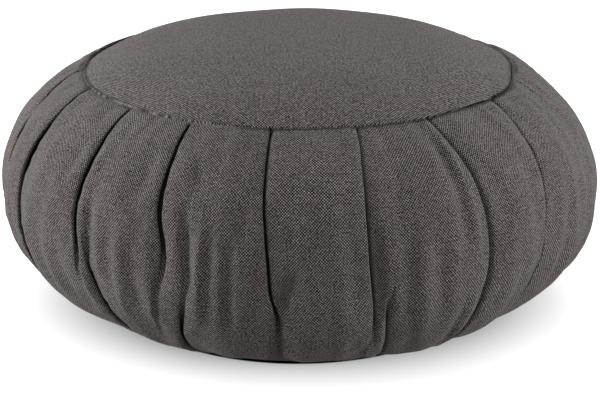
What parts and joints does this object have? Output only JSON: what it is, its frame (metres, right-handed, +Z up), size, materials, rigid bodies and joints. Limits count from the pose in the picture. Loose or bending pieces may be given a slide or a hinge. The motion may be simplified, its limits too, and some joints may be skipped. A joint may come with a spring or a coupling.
{
  "type": "zafu meditation cushion",
  "caption": "Round meditation cushion with a tall knife-pleated side sewn between two round panels, stuffed firm, resting flat on the floor.",
  "frame": {"origin": "under the middle of the cushion, on the surface that its bottom panel rests on", "axes": "+Z up, out of the middle of the top panel; -Y is the side that the picture shows"},
  "size_m": [0.3624, 0.3616, 0.169],
  "materials": {
    "side_cloth": "matt, coarse woven canvas, charcoal grey",
    "top_cloth": "matt, woven canvas, charcoal grey",
    "bottom_cloth": "matt, woven canvas, charcoal grey"
  },
  "bodies": {
    "root": {"pleated_side": "side_cloth", "top_panel": "top_cloth", "bottom_panel": "bottom_cloth"}
  },
  "joints": []
}
